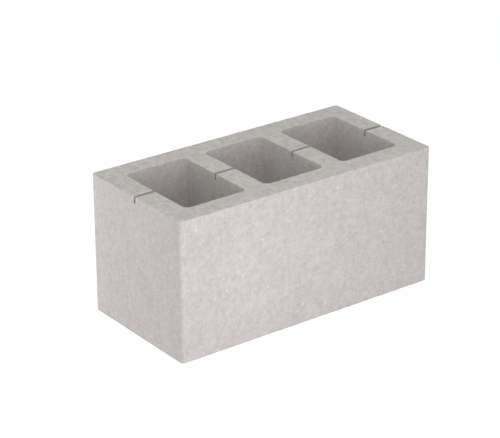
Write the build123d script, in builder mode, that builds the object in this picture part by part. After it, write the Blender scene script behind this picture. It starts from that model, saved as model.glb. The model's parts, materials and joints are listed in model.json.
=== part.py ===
from build123d import *

import os
from math import atan, degrees

# Hollow concrete block: one vibro-pressed piece of dense sand and cement concrete. Tapered cells run
# right through it from the top bed to the bottom bed. They leave two face shells along the length,
# an end web at each end and a cross web between neighbouring cells. A narrow groove is pressed into
# the top of every web, on the middle of the width, so that the block can be split lengthwise into
# two thin halves.
#
# +X runs along the length, +Y across the width and +Z up. The origin is in the middle of the bottom
# bed. All lengths are in millimetres.

# Outside of the block
block_length = 390.0
block_width = 190.0
block_height = 188.0
outer_corner_radius = 3.0
arris_radius = 1.5

# Walls around the cells, measured on the top bed
cell_count = 3
end_web = 30.0
cross_web = 30.0
face_shell = 30.0

# Cells: their walls lean in by the draft from the top bed to the bottom bed, so that the cores draw
cell_corner_radius = 8.0
cell_draft = 2.0
rim_radius = 1.5

# Splitting groove across the top of the webs, with its floor corners rounded by a share of its floor
groove_mouth = 5.5
groove_floor = 4.0
groove_depth = 9.0
groove_round_share = 0.3

# How far a cutting shape reaches past the face that it cuts
cut_overrun = 5.0

# Sizes that follow from the ones above
webs_length = 2 * end_web + (cell_count - 1) * cross_web
cell_length = (block_length - webs_length) / cell_count
cell_width = block_width - 2 * face_shell
cell_pitch = cell_length + cross_web
draft_angle = degrees(atan(cell_draft / block_height))
groove_lean = (groove_mouth - groove_floor) / 2 / groove_depth
groove_half_cut = groove_mouth / 2 + groove_lean * cut_overrun
groove_bottom = block_height - groove_depth
cut_top = block_height + cut_overrun
top_bed = Plane.XY.offset(block_height)
groove_start = Plane.YZ.offset(-block_length / 2 - cut_overrun)

with BuildPart() as block:
    # The mould box's own shape, with slightly rounded upright corners and both outer arrises eased
    with BuildSketch(Plane.XY):
        RectangleRounded(block_length, block_width, outer_corner_radius)
    extrude(amount=block_height)
    level_edges = block.edges().group_by(Axis.Z)
    fillet(level_edges[0] + level_edges[-1], arris_radius)

    # The row of cells, each one left by a tapered core that goes right through
    with BuildSketch(top_bed):
        with GridLocations(cell_pitch, 0, cell_count, 1):
            RectangleRounded(cell_length, cell_width, cell_corner_radius)
    extrude(amount=-block_height, taper=draft_angle, mode=Mode.SUBTRACT)

    # The rims of the cells on both beds
    beds = block.faces().filter_by(Axis.Z).sort_by(Axis.Z)
    rims = beds[0].inner_wires().edges() + beds[-1].inner_wires().edges()
    fillet(rims, rim_radius)

    # The splitting groove, a narrow trough over the whole length that opens at both ends
    with BuildSketch(groove_start) as groove_section:
        with BuildLine():
            Polyline(
                (-groove_floor / 2, groove_bottom),
                (groove_floor / 2, groove_bottom),
                (groove_half_cut, cut_top),
                (-groove_half_cut, cut_top),
                close=True,
            )
        make_face()
        floor_corners = groove_section.vertices().group_by(Axis.Y)[0]
        fillet(floor_corners, groove_floor * groove_round_share)
    extrude(amount=block_length + 2 * cut_overrun, mode=Mode.SUBTRACT)

block.part.label = "concrete_block"
os.makedirs("parts", exist_ok=True)
export_step(block.part, "parts/concrete_block.step")
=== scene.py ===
import json
import math

import bpy
from mathutils import Matrix, Vector

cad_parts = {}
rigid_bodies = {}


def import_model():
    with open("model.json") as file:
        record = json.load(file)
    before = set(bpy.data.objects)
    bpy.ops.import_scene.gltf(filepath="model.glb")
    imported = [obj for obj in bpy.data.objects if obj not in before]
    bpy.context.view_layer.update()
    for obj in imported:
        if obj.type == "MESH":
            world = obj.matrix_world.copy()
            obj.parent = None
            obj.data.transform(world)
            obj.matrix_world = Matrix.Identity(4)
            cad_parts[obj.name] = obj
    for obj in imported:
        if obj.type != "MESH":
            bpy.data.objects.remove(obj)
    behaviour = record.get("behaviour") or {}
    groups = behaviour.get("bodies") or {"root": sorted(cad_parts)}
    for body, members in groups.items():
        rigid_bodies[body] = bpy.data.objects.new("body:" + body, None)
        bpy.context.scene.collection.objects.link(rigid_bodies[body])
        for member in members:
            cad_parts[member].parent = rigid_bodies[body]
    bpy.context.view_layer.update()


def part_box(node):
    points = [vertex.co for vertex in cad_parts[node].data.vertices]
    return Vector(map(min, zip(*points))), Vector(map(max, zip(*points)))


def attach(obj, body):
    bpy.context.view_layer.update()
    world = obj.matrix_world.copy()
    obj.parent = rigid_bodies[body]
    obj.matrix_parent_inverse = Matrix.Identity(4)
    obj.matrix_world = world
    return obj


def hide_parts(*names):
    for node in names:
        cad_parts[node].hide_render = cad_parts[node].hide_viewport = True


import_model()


# The concrete block: one piece of dense sand and cement concrete, pressed and shaken in a steel mould
# box round three tapered cores, with a blade in the pressing head that leaves the splitting groove.
# It has no other pieces, and stands on its bottom bed.

MM = 0.001

block_low, block_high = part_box("concrete_block")
block_length, block_width, block_height = block_high - block_low
outer_corner_radius = 3 * MM
outer_corner_steps = 3

cell_count = 3
end_web = 30 * MM
cross_web = 30 * MM
face_shell = 30 * MM
cell_length = (block_length - 2 * end_web - (cell_count - 1) * cross_web) / cell_count
cell_width = block_width - 2 * face_shell
cell_pitch = cell_length + cross_web
cell_corner_radius = 8 * MM
cell_corner_steps = 6
cell_draft = 2 * MM

groove_mouth = 5.5 * MM
groove_floor = 4 * MM
groove_depth = 9 * MM

cut_overrun = 5 * MM

# The relief's lumps, by their size and by how deep they are pressed in
wave_size = 45 * MM
wave_depth = 0.2 * MM
lump_size = 6 * MM
lump_depth = 0.18 * MM
crumb_size = 4 * MM
crumb_depth = 0.7 * MM
rag_size = 7 * MM
rag_depth = 0.8 * MM

# The net that carries the relief is thinned far enough to leave room for the groove's own triangles
net_step = 1.0 * MM
net_triangles = 180_000
arris_angle = math.radians(20)
arris_fade_passes = 3
crisp_angle = math.radians(40)


def box_between(name, low, high):
    """A box between two corners, as the only selected object, with its place in its mesh."""
    bpy.ops.object.select_all(action="DESELECT")
    size, middle = high - low, (high + low) / 2
    bpy.ops.mesh.primitive_cube_add(size=1, location=middle, scale=size)
    bpy.ops.object.transform_apply(location=True, rotation=False, scale=True)
    made = bpy.context.object
    made.name = made.data.name = name
    return made


def edit(piece, kind, chosen):
    """Opens a piece in edit mode with only the chosen edges or faces of its mesh selected."""
    bpy.ops.object.mode_set(mode="EDIT")
    bpy.ops.mesh.select_mode(type=kind)
    bpy.ops.mesh.select_all(action="DESELECT")
    bpy.ops.object.mode_set(mode="OBJECT")
    for item in {"EDGE": piece.data.edges, "FACE": piece.data.polygons}[kind]:
        item.select = chosen(item)
    bpy.ops.object.mode_set(mode="EDIT")


def round_upright_edges(piece, radius, steps):
    """Bevels the edges that stand upright on a box."""

    def upright(edge):
        bottom, top = (piece.data.vertices[i].co for i in edge.vertices)
        return abs(top.z - bottom.z) > (top - bottom).xy.length

    edit(piece, "EDGE", upright)
    bpy.ops.mesh.bevel(offset=radius, segments=steps)
    bpy.ops.object.mode_set(mode="OBJECT")


def narrow_bottom(piece, length_share, width_share):
    """Draws in the bottom face of a box about its own middle, so that its sides lean."""
    bottom = min(face.center.z for face in piece.data.polygons)
    middle = sum((Vector(corner) for corner in piece.bound_box), Vector()) / len(piece.bound_box)
    edit(piece, "FACE", lambda face: face.center.z == bottom)
    bpy.ops.transform.resize(
        value=(length_share, width_share, 1), center_override=(middle.x, middle.y, bottom)
    )
    bpy.ops.object.mode_set(mode="OBJECT")


def pick(piece):
    """Makes a piece the only selected object, and the one that operators act on."""
    bpy.ops.object.select_all(action="DESELECT")
    piece.select_set(True)
    bpy.context.view_layer.objects.active = piece


def apply_modifier(piece, kind, **settings):
    """Adds a modifier with its settings and applies it to the mesh."""
    modifier = piece.modifiers.new(kind.lower(), kind)
    for name, value in settings.items():
        setattr(modifier, name, value)
    pick(piece)
    bpy.ops.object.modifier_apply(modifier=modifier.name)


def cut_away(piece, cutter):
    """Takes one solid out of another and removes the cutter."""
    apply_modifier(piece, "BOOLEAN", object=cutter, operation="DIFFERENCE", solver="MANIFOLD")
    bpy.data.objects.remove(cutter)


# The mould box's inside
block = box_between("block", block_low, block_high)
round_upright_edges(block, outer_corner_radius, outer_corner_steps)

# The cores, which lean over their overrun as they do inside the block
core_height = block_height + 2 * cut_overrun
lean_above = cell_draft * cut_overrun / block_height
lean_inside = cell_draft * core_height / block_height
core_half = Vector((cell_length / 2 + lean_above, cell_width / 2 + lean_above, 0))
for number in range(cell_count):
    core_middle = Vector(((number - (cell_count - 1) / 2) * cell_pitch, 0, 0))
    core_low = core_middle - core_half + Vector((0, 0, -cut_overrun))
    core_high = core_middle + core_half + Vector((0, 0, block_height + cut_overrun))
    core = box_between("core", core_low, core_high)
    narrow_bottom(core, 1 - lean_inside / core_half.x, 1 - lean_inside / core_half.y)
    round_upright_edges(core, cell_corner_radius, cell_corner_steps)
    cut_away(block, core)


def fine_net(piece, step):
    """Lays an even net of small faces over a piece, which eases its edges by about one step."""
    pick(piece)
    piece.data.remesh_voxel_size = step
    bpy.ops.object.voxel_remesh()


fine_net(block, net_step)

# The arrises, as a band of weights that fades over a few steps of the net
bpy.ops.object.mode_set(mode="EDIT")
bpy.ops.mesh.select_mode(type="VERT")
bpy.ops.mesh.select_all(action="DESELECT")
bpy.ops.mesh.edges_select_sharp(sharpness=arris_angle)
bpy.ops.mesh.select_more()
block.vertex_groups.new(name="arris")
bpy.ops.object.vertex_group_assign()
bpy.ops.mesh.select_all(action="SELECT")
bpy.ops.object.vertex_group_smooth(
    group_select_mode="ALL", factor=0.5, repeat=arris_fade_passes, expand=0.0
)
bpy.ops.object.mode_set(mode="OBJECT")


def roughen(piece, name, size, depth, group=""):
    """Presses a cloudy relief into the surface, with lumps of one size and nothing proud of it."""
    relief = bpy.data.textures.new(name, "CLOUDS")
    relief.noise_basis = "ORIGINAL_PERLIN"
    relief.noise_scale = size
    relief.noise_depth = 2
    apply_modifier(
        piece,
        "DISPLACE",
        texture=relief,
        texture_coords="LOCAL",
        direction="NORMAL",
        strength=depth,
        mid_level=1.0,
        vertex_group=group,
    )


roughen(block, "mould_waviness", wave_size, wave_depth)
roughen(block, "sand_lumps", lump_size, lump_depth)
roughen(block, "crumbled_arris", crumb_size, crumb_depth, "arris")

triangles = sum(len(face.vertices) - 2 for face in block.data.polygons)
apply_modifier(block, "DECIMATE", ratio=net_triangles / triangles)

# The blade, wider above the block by as much as it leans; the grit makes its groove a little ragged
blade_lean = (groove_mouth - groove_floor) / groove_depth
blade_top = groove_mouth + blade_lean * cut_overrun
blade_half = Vector((block_length / 2 + cut_overrun, blade_top / 2, 0))
blade_low = -blade_half + Vector((0, 0, block_height - groove_depth))
blade_high = blade_half + Vector((0, 0, block_height + cut_overrun))
blade = box_between("blade", blade_low, blade_high)
narrow_bottom(blade, 1, groove_floor / blade_top)
fine_net(blade, net_step)
roughen(blade, "ragged_groove", rag_size, rag_depth)
cut_away(block, blade)

bpy.ops.object.shade_smooth_by_angle(angle=crisp_angle)


def linear(hex_colour):
    """A colour written as sRGB hex, in the linear values that a shader takes."""
    shares = [int(hex_colour[i : i + 2], 16) / 255 for i in (1, 3, 5)]
    return [s / 12.92 if s <= 0.04045 else ((s + 0.055) / 1.055) ** 2.4 for s in shares] + [1]


def node(tree, kind, inputs, **settings):
    """Adds a node with its settings; each input is a fixed value or another node's output."""
    made = tree.nodes.new(kind)
    for name, value in settings.items():
        setattr(made, name, value)
    for name, value in inputs.items():
        if isinstance(value, bpy.types.NodeSocket):
            tree.links.new(value, made.inputs[name])
        else:
            made.inputs[name].default_value = value
    return made


# Vibro-pressed concrete: pale grey cement paste round washed sand, dull and even from a few steps away.
# Close to, it is speckled by sand grains and pale dabs of paste, cloudy where the mix was wetter, and
# pitted by small air pores, which are also painted darker as painted shade. The sides are faintly
# streaked upright where the mould box was drawn off, and the two beds are more mottled. Painted shade
# darkens the groove, other narrow recesses and concave creases, while convex arrises are painted a
# little lighter.
dark_grey = linear("#A8A3A1")
pale_grey = linear("#F3EEED")
cloud_size = 60 * MM
mottle_size = 7 * MM
bed_mottle_size = 10 * MM
sand_size = 1.6 * MM
fine_size = sand_size / 2
pore_spacing = 8 * MM
pore_radius = 1.5 * MM
paste_spacing = 9 * MM
paste_radius = 2.6 * MM
bare_share = 0.55
streak_width = 3 * MM
streak_length = 90 * MM
bump_depth = 0.4 * MM
bump_strength = 0.8
least_roughness = 0.82
most_roughness = 0.98
concrete_ior = 1.5
half_way = 0.5

concrete = bpy.data.materials.new("vibro_pressed_concrete")
concrete.use_nodes = True
tree = concrete.node_tree
shader = tree.nodes["Principled BSDF"]
place = node(tree, "ShaderNodeTexCoord", {}).outputs["Object"]

# Clouds, mottle and sand
soft = {"Vector": place, "Roughness": 0.55}
cloud = node(tree, "ShaderNodeTexNoise", {**soft, "Scale": 1 / cloud_size, "Detail": 2}).outputs[0]
mottle = node(tree, "ShaderNodeTexNoise", {**soft, "Scale": 1 / mottle_size, "Detail": 3}).outputs[0]
bed = node(tree, "ShaderNodeTexNoise", {**soft, "Scale": 1 / bed_mottle_size, "Detail": 3}).outputs[0]
fine = node(tree, "ShaderNodeTexNoise", {**soft, "Scale": 1 / fine_size, "Detail": 1}).outputs[0]
sand = node(tree, "ShaderNodeTexVoronoi", {"Vector": place, "Scale": 1 / sand_size})
sand_tone = node(tree, "ShaderNodeSeparateColor", {"Color": sand.outputs["Color"]}).outputs[0]

# Pores and dabs of paste, whose edges wander by about one grain of sand
wander = node(tree, "ShaderNodeTexNoise", {"Vector": place, "Scale": 1 / sand_size}).outputs["Color"]
strayed = {0: wander, 1: [sand_size] * 3, 2: place}
ragged = node(tree, "ShaderNodeVectorMath", strayed, operation="MULTIPLY_ADD").outputs[0]


def spots(spacing, largest):
    """Ragged spots about one spacing apart, with gaps, of many sizes up to the largest radius."""
    cells = node(tree, "ShaderNodeTexVoronoi", {"Vector": ragged, "Scale": 1 / spacing})
    chance = node(tree, "ShaderNodeSeparateColor", {"Color": cells.outputs["Color"]}).outputs[0]
    sizes = {"Value": chance, "From Min": bare_share, "To Max": largest / spacing}
    radius = node(tree, "ShaderNodeMapRange", sizes).outputs[0]
    fade = {"Value": cells.outputs["Distance"], "From Max": radius, "To Min": 1.0, "To Max": 0.0}
    return node(tree, "ShaderNodeMapRange", fade).outputs[0]


pore = spots(pore_spacing, pore_radius)
paste = spots(paste_spacing, paste_radius)

# How open the surface is, out to the groove's depth: 1 on a flat face, and less in a narrow recess,
# where it paints shade into the colour of the groove, the cells' corners and other recesses
near = {"Distance": groove_depth}
openness_for_painted_shade = node(tree, "ShaderNodeAmbientOcclusion", near, only_local=True, samples=8).outputs["AO"]

# Upright streaks on the sides, and a mottle of their own on the two beds
stretch = (1 / streak_width, 1 / streak_width, 1 / streak_length)
drawn = node(tree, "ShaderNodeMapping", {"Vector": place, "Scale": stretch}).outputs[0]
streak = node(tree, "ShaderNodeTexNoise", {"Vector": drawn, "Scale": 1.0, "Detail": 2}).outputs[0]
surface = node(tree, "ShaderNodeNewGeometry", {})
upwards = node(tree, "ShaderNodeSeparateXYZ", {"Vector": surface.outputs["Normal"]}).outputs["Z"]
beds = node(tree, "ShaderNodeMath", {0: upwards}, operation="ABSOLUTE").outputs[0]
sides = node(tree, "ShaderNodeMath", {0: 1.0, 1: beds}, operation="SUBTRACT", use_clamp=True).outputs[0]


def kept_to(faces, noise):
    """A noise's swing about half way, on some of the faces only."""
    swing = node(tree, "ShaderNodeMath", {0: noise, 1: half_way}, operation="SUBTRACT").outputs[0]
    return node(tree, "ShaderNodeMath", {0: swing, 1: faces}, operation="MULTIPLY").outputs[0]


side_streak = kept_to(sides, streak)
bed_mottle = kept_to(beds, bed)


def layered(start, *layers):
    """A value that starts at a number, and to which each layer adds its swing about its own mean."""
    total = start - sum(mean * swing for _, mean, swing in layers)
    for output, _, swing in layers:
        inputs = {0: output, 1: swing, 2: total}
        total = node(tree, "ShaderNodeMath", inputs, operation="MULTIPLY_ADD").outputs[0]
    return total


# The tone, from dark grey at 0 to pale grey at 1: each layer with its mean and how far it swings
tone = layered(
    half_way,
    (cloud, half_way, 0.18),
    (mottle, half_way, 0.48),
    (sand_tone, half_way, 0.18),
    (fine, half_way, 0.18),
    (side_streak, 0.0, 0.10),
    (bed_mottle, 0.0, 0.6),
    # Painted shade in concave creases and pits, and a little lighter on convex arrises and lumps, by how
    # pointed the net is
    (surface.outputs["Pointiness"], half_way, 0.5),
    # Painted shade: darker in the groove and other narrow recesses, where less light gets in
    (openness_for_painted_shade, 1.0, 0.55),
    (paste, 0.0, 0.45),
    # The pores' darkness is painted shade, standing in for the shade inside the pits that the bump below
    # presses in
    (pore, 0.0, -0.55),
)
greys = node(tree, "ShaderNodeValToRGB", {"Fac": tone})
darkest, palest = greys.color_ramp.elements
darkest.color = dark_grey
palest.color = pale_grey
tree.links.new(greys.outputs["Color"], shader.inputs["Base Color"])

# The fine relief that the net is too coarse for, as shares of the bump's depth
height = layered(
    half_way,
    (mottle, half_way, 0.3),
    (sand_tone, half_way, 0.25),
    (fine, half_way, 0.25),
    (side_streak, 0.0, 0.3),
    (bed_mottle, 0.0, 0.5),
    (pore, 0.0, -1.5),
)
bumps = {"Height": height, "Strength": bump_strength, "Distance": bump_depth}
bump = node(tree, "ShaderNodeBump", bumps)
tree.links.new(bump.outputs["Normal"], shader.inputs["Normal"])

dullness = {"Value": mottle, "To Min": least_roughness, "To Max": most_roughness}
roughness = node(tree, "ShaderNodeMapRange", dullness)
tree.links.new(roughness.outputs[0], shader.inputs["Roughness"])
shader.inputs["IOR"].default_value = concrete_ior

block.data.materials.clear()
block.data.materials.append(concrete)
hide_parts("concrete_block")
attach(block, "root")


# The floor: a wide sheet of pale matt board that the block stands on. It bounces light as plain board
# does. To the camera and to gloss it also glows, so that it shows white and still takes the shadow.

floor_size = 12
board_colour = linear("#E8E8E8")
shaded_colour = linear("#C8C8C8")
board_glow = 0.68

bpy.ops.mesh.primitive_plane_add(size=floor_size, location=(0, 0, 0))
floor = bpy.context.object
floor.name = floor.data.name = "floor"


def seen_directly(tree):
    """One for rays from the camera, a gloss or a glass, and nothing for the light that bounces about."""
    rays = node(tree, "ShaderNodeLightPath", {})
    total = rays.outputs["Is Camera Ray"]
    for kind in ("Is Glossy Ray", "Is Transmission Ray"):
        inputs = {0: total, 1: rays.outputs[kind]}
        total = node(tree, "ShaderNodeMath", inputs, operation="MAXIMUM").outputs[0]
    return total


board = bpy.data.materials.new("pale_matt_board")
board.use_nodes = True
tree = board.node_tree
tree.nodes.remove(tree.nodes["Principled BSDF"])
plain = node(tree, "ShaderNodeBsdfDiffuse", {"Color": board_colour})
shaded = node(tree, "ShaderNodeBsdfDiffuse", {"Color": shaded_colour})
glow = node(tree, "ShaderNodeEmission", {"Strength": board_glow})
shown = node(tree, "ShaderNodeAddShader", {0: shaded.outputs[0], 1: glow.outputs[0]})
mix = {0: seen_directly(tree), 1: plain.outputs[0], 2: shown.outputs[0]}
mixed = node(tree, "ShaderNodeMixShader", mix)
tree.links.new(mixed.outputs[0], tree.nodes["Material Output"].inputs["Surface"])
floor.data.materials.append(board)


# The light: an even tent all round, very faintly green, which the camera sees as white, and three soft
# round lamps, very faintly violet. A low one in front lights the long face, a high one farther off the
# top and the long face, and a small low one behind on the left the end.

tent_strength = 0.575
tent_colour = linear("#FBFFF8")
backdrop_colour = linear("#FFFFFF")
lamp_colour = linear("#FDF5FF")
lamp_aim = Vector((-0.1, 0, 0.1))

# Each lamp's place and width in metres, and its power in watts
lamps = {
    "low_front_lamp": (Vector((-0.2, -0.65, 0.2)), 0.4, 1.2),
    "high_front_lamp": (Vector((-0.5, -0.9, 1.6)), 0.6, 5.0),
    "end_lamp": (Vector((-0.65, 0.55, 0.11)), 0.2, 1.6),
}

world = bpy.data.worlds.new("white_tent")
bpy.context.scene.world = world
world.use_nodes = True
tree = world.node_tree
tent = tree.nodes["Background"]
tent.inputs["Color"].default_value = tent_colour
tent.inputs["Strength"].default_value = tent_strength
backdrop = node(tree, "ShaderNodeBackground", {"Color": backdrop_colour, "Strength": 1.0})
mix = {0: seen_directly(tree), 1: tent.outputs[0], 2: backdrop.outputs[0]}
mixed = node(tree, "ShaderNodeMixShader", mix)
tree.links.new(mixed.outputs[0], tree.nodes["World Output"].inputs["Surface"])

for name, (lamp_place, width, power) in lamps.items():
    bpy.ops.object.light_add(type="AREA", location=lamp_place)
    lamp = bpy.context.object
    lamp.name = name
    lamp.data.shape = "DISK"
    lamp.data.size = width
    lamp.data.energy = power
    lamp.data.color = lamp_colour[:3]
    lamp.rotation_euler = (lamp_aim - lamp_place).to_track_quat("-Z", "Y").to_euler()
    lamp.visible_camera = False


# The camera: on the left of the long face and above it, as in the photograph. It stands far off and has
# a long lens, so the block's edges run nearly parallel. The focal length is in pixels of the picture.

view_azimuth = math.radians(-36.74)
view_elevation = math.radians(23.90)
view_roll = math.radians(-0.29)
view_distance = 2623 * MM
view_target = Vector((-21.3, 0, 112.1)) * MM
image_width = 500
focal_pixels = 2075
film_width = 36

bpy.ops.object.camera_add()
camera = bpy.context.object
camera.name = "camera"
back = Vector(
    (
        math.sin(view_azimuth) * math.cos(view_elevation),
        -math.cos(view_azimuth) * math.cos(view_elevation),
        math.sin(view_elevation),
    )
)
turn = (-back).to_track_quat("-Z", "Y").to_matrix().to_4x4() @ Matrix.Rotation(view_roll, 4, "Z")
camera.matrix_world = Matrix.Translation(view_target + back * view_distance) @ turn
camera.data.sensor_width = film_width
camera.data.lens = film_width * focal_pixels / image_width
bpy.context.scene.camera = camera

bpy.context.scene.view_settings.view_transform = "Standard"
